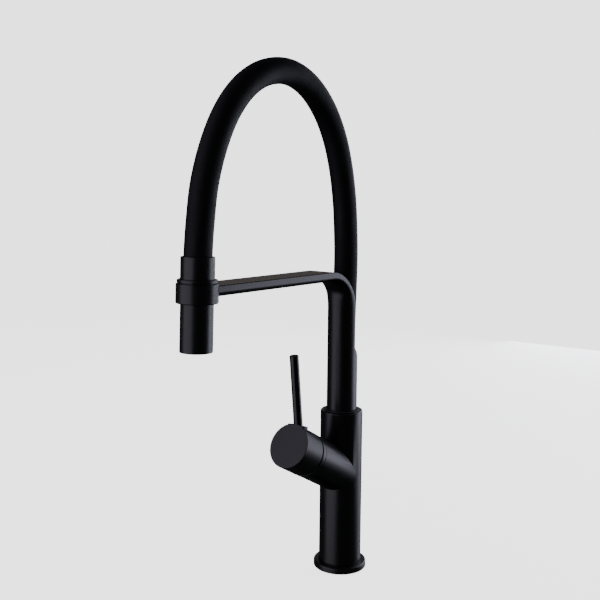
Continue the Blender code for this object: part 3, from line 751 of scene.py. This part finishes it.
# --- hose ----------------------------------------------------------------------------
def smooth_path(route, step):
    """Even (y, z) points on a Catmull-Rom curve through guide points, eased, in mm."""
    guides = [Vector(point) for point in route]
    guides = [2 * guides[0] - guides[1]] + guides + [2 * guides[-1] - guides[-2]]
    fine = []
    parts, rounds = 40, 60
    for a, b, c, d in zip(guides, guides[1:], guides[2:], guides[3:]):
        for k in range(parts):
            t = k / parts
            fine.append(0.5 * (2 * b + (c - a) * t + (2 * a - 5 * b + 4 * c - d) * t ** 2
                               + (3 * b - a - 3 * c + d) * t ** 3))
    fine.append(guides[-2])
    for _ in range(rounds):
        fine = [fine[0], fine[1]] + [
            (p + 2 * q + r) / 4 for p, q, r in zip(fine[1:], fine[2:], fine[3:])] + [fine[-1]]
    total = sum((q - p).length for p, q in zip(fine, fine[1:]))
    count = ceil(total / step)
    spaced, walked, target = [fine[0]], 0.0, 1
    for p, q in zip(fine, fine[1:]):
        length = (q - p).length
        while target < count and walked + length >= total * target / count:
            spaced.append(p.lerp(q, (total * target / count - walked) / length))
            target += 1
        walked += length
    spaced.append(fine[-1])
    return spaced


def path_frames(points):
    """(centre, in-plane normal, tangent) at each point of a path in the plane X = 0."""
    frames = []
    for index, point in enumerate(points):
        before = points[max(index - 1, 0)]
        after = points[min(index + 1, len(points) - 1)]
        tangent = (after - before).normalized()
        frames.append((Vector((0, point.x, point.y)), Vector((0, -tangent.y, tangent.x)),
                       Vector((0, tangent.x, tangent.y))))
    return frames


def swept(rings, sides):
    """Closed mesh through rings of (centre, normal, radius), the last joined to the first."""
    mesh = bpy.data.meshes.new("swept")
    verts, faces = [], []
    for centre, normal, radius in rings:
        for k in range(sides):
            angle = 2 * pi * k / sides
            side = Vector((cos(angle), 0, 0)) + normal * sin(angle)
            verts.append((centre + side * radius) * MM)
    count = len(rings)
    for index in range(count):
        base, top = index * sides, (index + 1) % count * sides
        for k in range(sides):
            j = (k + 1) % sides
            faces.append((base + k, base + j, top + j, top + k))
    mesh.from_pydata(verts, [], faces)
    return mesh


def follow_hose(piece, node):
    """Bakes a piece of the hose, between the post and the head, into place and hides its CAD node."""
    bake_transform(piece)
    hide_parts(node)


def tube_rings(frames, radius):
    return [(centre, normal, radius) for centre, normal, _ in frames]


def hose_cover(points):
    """The silicone cover: rounded at the head, with a shallow groove in its hidden foot."""
    frames = path_frames(points)
    lip, steps = 1.0, 5
    angles = [pi / 2 * k / steps for k in range(steps + 1)]
    foot, foot_normal, foot_along = frames[0]
    end, end_normal, end_along = frames[-1]
    rings = [(foot + foot_along * (lip * (1 - sin(angle))), foot_normal,
              HOSE_R - lip + lip * sin(angle)) for angle in angles]
    rings += tube_rings(frames[1:-1], HOSE_R)
    rings += [(end - end_along * (lip * (1 - sin(angle))), end_normal,
               HOSE_R - lip + lip * cos(angle)) for angle in angles]
    rings += tube_rings(reversed(frames), HOSE_R - HOSE_WALL)
    cover = finish_mesh("hose_cover", swept(rings, 72), SILICONE, sharp=50, weighted=False)
    follow_hose(cover, "hose_sleeve")


def hose_spring(points):
    spring = coil_mesh(points, SPRING_R, SPRING_WIRE, SPRING_PITCH)
    coil = finish_mesh("hose_spring", spring, STEEL, sharp=60, weighted=False)
    follow_hose(coil, "support_spring")


def hose_core(points):
    """The inner hose, which stops short of both ends of the cover."""
    frames = path_frames(points[6:-6])
    rings = tube_rings(frames, INNER_HOSE_R)
    rings += tube_rings(reversed(frames), INNER_HOSE_R - INNER_HOSE_WALL)
    core = finish_mesh("hose_core", swept(rings, 32), GREY, sharp=50, weighted=False)
    follow_hose(core, "inner_hose")


def coil_mesh(points, radius, wire, pitch):
    """A round wire wound about the path, from just inside one end to the other."""
    frames = path_frames(points)
    total = sum((q - p).length for p, q in zip(points, points[1:]))
    step = total / (len(points) - 1)
    per_turn = 14
    count = int((total - 2 * SPRING_INSET) / pitch * per_turn)
    curve = bpy.data.curves.new("coil", "CURVE")
    curve.dimensions = "3D"
    curve.bevel_depth = wire * MM
    curve.bevel_resolution = 1
    curve.use_fill_caps = True
    spline = curve.splines.new("POLY")
    spline.points.add(count - 1)
    for index in range(count):
        distance = SPRING_INSET + pitch * index / per_turn
        place = min(int(distance / step), len(frames) - 2)
        share = distance / step - place
        centre = frames[place][0].lerp(frames[place + 1][0], share)
        normal = frames[place][1].lerp(frames[place + 1][1], share)
        angle = 2 * pi * index / per_turn
        point = (centre + (Vector((cos(angle), 0, 0)) + normal * sin(angle)) * radius) * MM
        spline.points[index].co = (*point, 1)
    helper = bpy.data.objects.new("coil", curve)
    bpy.context.scene.collection.objects.link(helper)
    bpy.context.view_layer.update()
    evaluated = helper.evaluated_get(bpy.context.evaluated_depsgraph_get())
    mesh = bpy.data.meshes.new_from_object(evaluated)
    bpy.data.objects.remove(helper)
    bm = bmesh.new()
    bm.from_mesh(mesh)
    bmesh.ops.remove_doubles(bm, verts=bm.verts, dist=0.00002)
    bm.to_mesh(mesh)
    bm.free()
    return mesh


# --- spray head ------------------------------------------------------------------------
def head_upper():
    low, high, radius = measure("head_upper_shell", DOCK)
    socket = HOSE_R + 0.22
    corners = [
        (socket, high, 0.6), (radius, high, 0.9), (radius, low, 0.35), (HEAD_BORE, low, 0),
        (HEAD_BORE, NECK_LOW, 0), (HEAD_NECK, NECK_LOW, 0), (HEAD_NECK, NECK_HIGH, 0),
        (socket, NECK_HIGH, 0),
    ]
    put_on(turned("head_upper", corners, DOCK, BLACK), "head", "black_coat",
           "head_upper_shell")


def head_body():
    low, high, radius = measure("head_lower_shell", DOCK)
    corners = [
        (OUTLET_BORE, high, 0), (radius, high, 0.35), (radius, low, 0.45),
        (HEAD_BORE, low, 0.3), (HEAD_BORE, OUTLET_TOP, 0), (OUTLET_BORE, OUTLET_TOP, 0),
    ]
    put_on(turned("head_body", corners, DOCK, BLACK), "head", "black_coat",
           "head_lower_shell")


def spray_ring():
    """The ring round the outlet, with notches round its lower edge."""
    low, high, radius = measure("aerator_housing", DOCK)
    bore, throat, notches = 10.6, 9.3, 12
    corners = [
        (bore, high, 0), (radius, high, 0.2), (radius, low, 0.4), (9.9, low, 0.5),
        (throat, low + 1.6, 0.3), (throat, low + 4.0, 0), (bore, low + 4.6, 0),
    ]
    ring = lathe(rounded(corners), DOCK)
    steps = []
    for k in range(notches):
        angle = 2 * pi * k / notches
        place = DOCK @ Matrix.Rotation(angle, 4, "Z") @ Matrix.Translation((radius * MM, 0, 0))
        steps.append(("DIFFERENCE", rod_mesh(0.9, low - 1, low + 1.4, place, 16)))
    piece = finish_mesh("spray_ring", carve(ring, *steps), GREY)
    put_on(piece, "head", "grey_plastic", "aerator_housing")


def spray_plate():
    """The outlet screen, with fine holes in rings."""
    low, high, radius = measure("aerator_screen", DOCK)
    plate = lathe(rounded([(0, high, 0), (radius, high, 0.2), (radius, low, 0.2), (0, low, 0)],
                          closed=False), DOCK, 96, closed=False)
    steps = []
    for ring_radius, holes in ((0.0, 1), (2.6, 6), (5.2, 12), (7.7, 18)):
        for k in range(holes):
            angle = 2 * pi * k / holes
            offset = (ring_radius * cos(angle), ring_radius * sin(angle))
            steps.append(("DIFFERENCE", rod_mesh(0.55, low - 1, high + 1, DOCK, 10, offset)))
    piece = finish_mesh("spray_plate", carve(plate, *steps), STEEL)
    put_on(piece, "head", "steel", "aerator_screen")


# --- valve ring and handle -----------------------------------------------------------
def valve_ring():
    low, high, radius = measure("bonnet_ring", BRANCH)
    corners = [
        (RING_BORE, high, 0.3), (NOSE_R, high, 0.5), (NOSE_R, NOSE_START, 0),
        (radius, NOSE_START, 0.6), (radius, low, 0.35), (CAVITY_R, low, 0),
        (CAVITY_R, RING_SEAT, 0), (RING_BORE, RING_SEAT, 0),
    ]
    put_on(turned("valve_ring", corners, BRANCH, BLACK), "faucet", "black_coat",
           "bonnet_ring")


def handle_drum(side_screw):
    """The drum with its boss, the socket for the cartridge lever and the rod's hole."""
    rod_radius = measure("lever_rod", LEVER)[2]
    face, mouth, roof = (height - PIVOT_MM for height in (CAP_FACE, CAP_START, CAP_ROOF))
    drum = lathe(rounded([
        (0, face, 0), (CAP_R, face, 0.55), (CAP_R, mouth, 0.35), (CAP_MOUTH_R, mouth, 0.2),
        (CAP_BORE, mouth + 2.0, 0), (CAP_BORE, roof, 0), (0, roof, 0)], closed=False),
        HANDLE, closed=False)
    boss_foot = -14.0
    boss = lathe(rounded([(0, BOSS_TOP, 0), (BOSS_R, BOSS_TOP, 0.5), (BOSS_R, boss_foot, 0),
                          (0, boss_foot, 0)], closed=False), BOSS, 96, closed=False)
    boss = carve(boss,
                 ("DIFFERENCE", box_mesh((-20, -25, face - 0.04), (20, 40, face + 30), HANDLE)),
                 ("DIFFERENCE", box_mesh((-20, -30, -20), (20, 40, roof + 2), HANDLE)))
    mesh = carve(
        drum,
        ("UNION", boss),
        ("DIFFERENCE", box_mesh((-4.3, -4.7, roof - 2), (4.3, 4.7, roof + 10), HANDLE)),
        ("DIFFERENCE", rod_mesh(LEVER_SPIGOT + 0.3, -11, 8, LEVER)),
        ("DIFFERENCE", rod_mesh(rod_radius + LEVER_FIT, LEVER_SEAT - 0.2, 8, LEVER)),
        ("DIFFERENCE", rod_mesh(SCREW_HOLE, 3.0, 30.0, side_screw)),
    )
    piece = finish_mesh("handle_drum", mesh, SPUN, sharp=26.0)
    put_on(piece, "handle", "black_coat", "handle_cap")


def handle_lever():
    low, high, radius = measure("lever_rod", LEVER)
    corners = [(0, high, 0), (radius, high, 0.55), (radius, LEVER_SEAT, 0.25),
               (LEVER_SPIGOT, LEVER_SEAT, 0), (LEVER_SPIGOT, low, 0.3), (0, low, 0)]
    put_on(turned("handle_lever", corners, LEVER, GLOSSY, SMALL_STEPS, closed=False),
           "handle", "black_coat", "lever_rod")


def handle():
    side_screw = HANDLE @ Matrix.Translation((0, 0, (CAP_ROOF - PIVOT_MM + 5.5) * MM))
    side_screw = side_screw @ Matrix.Rotation(radians(90), 4, "X")
    handle_drum(side_screw)
    handle_lever()
    hex_screw("handle_set_screw", "handle_grub_screw", side_screw, "handle")


# --- stage, light and camera -------------------------------------------------------------
def stage():
    """A pale floor that curves up into a wall all round."""
    n = Nodes("pale_floor")
    cloud = n.noise(3.0, 3.0)
    n.put(n.shader, "Base Color", n.mix(n.remap(cloud, 0.0, 1.0), (0.86, 0.86, 0.86),
                                        (0.88, 0.88, 0.88)))
    n.put(n.shader, "Roughness", n.remap(cloud, 0.75, 0.85))
    n.put(n.shader, "Specular IOR Level", 0.1)
    n.put(n.shader, "Emission Color", (1.0, 1.0, 1.0, 1.0))
    n.put(n.shader, "Emission Strength", 2.6)
    level, edge, bend, wall_top, steps = -0.3, 2200, 900.0, 3600, 16
    profile = [(radius, level) for radius in (0, 300, 900, edge)]
    for k in range(1, steps + 1):
        angle = pi / 2 * k / steps
        profile.append((edge + bend * sin(angle), level + bend * (1 - cos(angle))))
    profile.append((edge + bend, wall_top))
    mesh = lathe(profile, UPRIGHT, 96, closed=False)
    bm = bmesh.new()
    bm.from_mesh(mesh)
    bmesh.ops.reverse_faces(bm, faces=bm.faces)
    bm.to_mesh(mesh)
    bm.free()
    mesh.polygons.foreach_set("use_smooth", [True] * len(mesh.polygons))
    mesh.materials.append(n.material)
    floor = bpy.data.objects.new("pale_floor", mesh)
    PIECES.objects.link(floor)
    floor.visible_glossy = False
    floor.visible_diffuse = False


def bearing(azimuth, elevation):
    """Unit vector away from the object, in degrees. Azimuth 0 is in front of it, at -Y."""
    a, e = radians(azimuth), radians(elevation)
    return Vector((sin(a) * cos(e), -cos(a) * cos(e), sin(e)))


def soft_light(name, centre, azimuth, elevation, distance, width, height, radiance, colour):
    """A softbox aimed at a point of the object, in metres and degrees."""
    back = bearing(azimuth, elevation)
    data = bpy.data.lights.new(name, "AREA")
    data.shape = "RECTANGLE"
    data.size, data.size_y = width, height
    data.energy = radiance * pi * width * height
    data.color = colour
    light = bpy.data.objects.new(name, data)
    light.visible_camera = False
    light.location = centre + back * distance
    light.rotation_mode = "QUATERNION"
    light.rotation_quaternion = (-back).to_track_quat("-Z", "Y")
    bpy.context.scene.collection.objects.link(light)


def lights():
    world = bpy.data.worlds.new("studio")
    bpy.context.scene.world = world
    world.use_nodes = True
    background = world.node_tree.nodes["Background"]
    background.inputs["Color"].default_value = (0.90, 0.95, 1.0, 1.0)
    background.inputs["Strength"].default_value = 0.035
    middle = (CAD_BOX[0] + CAD_BOX[1]) / 2
    soft_light("key_left", middle, -19, 2, 1.5, 1.9, 2.3, 1.25, (0.86, 0.82, 1.0))
    soft_light("face_fill", middle, -55, 46, 1.5, 0.9, 0.7, 0.90, (0.80, 0.78, 1.0))
    soft_light("side_right", middle, 146, 2, 1.0, 0.60, 0.9, 2.7, (0.83, 0.83, 1.0))
    soft_light("back_right", middle, 184, 9, 1.5, 0.7, 1.1, 3.4, (0.82, 0.86, 1.0))
    soft_light("floor_right", middle, 165, -24, 1.2, 0.6, 0.5, 1.0, (0.83, 0.83, 1.0))
    soft_light("back_low", middle, 222, 9, 1.8, 0.9, 0.4, 0.32, (1.0, 0.88, 0.82))


def camera():
    """The photo's viewpoint. It is turned a little about its own axis, as the photo is."""
    data = bpy.data.cameras.new("camera")
    data.sensor_width = 36.0
    data.lens = 51.29
    data.shift_y = -0.08
    data.clip_start, data.clip_end = 0.05, 20.0
    back = bearing(38.37, 4.17)
    roll = radians(0.58)
    right = Vector((0, 0, 1)).cross(back).normalized()
    up = back.cross(right)
    right, up = right * cos(roll) + up * sin(roll), up * cos(roll) - right * sin(roll)
    matrix = Matrix((right, up, back)).transposed().to_4x4()
    matrix.translation = Vector((0.5239, -0.7363, 0.4052))
    view = bpy.data.objects.new("camera", data)
    view.matrix_world = matrix
    bpy.context.scene.collection.objects.link(view)
    bpy.context.scene.camera = view


dress_frame()
base_ring()
deck_gasket()
base_insert()
body_casting()
swivel_ring()
hex_screw("rear_set_screw", "swivel_grub_screw", REAR_SCREW, "faucet")
spout_casting()
dock_ring()
dock_lining()
hose_points = smooth_path(HOSE_ROUTE, 2.2)
hose_cover(hose_points)
hose_spring(hose_points)
hose_core(hose_points)
head_upper()
head_body()
spray_ring()
spray_plate()
valve_ring()
handle()
stage()
lights()
camera()
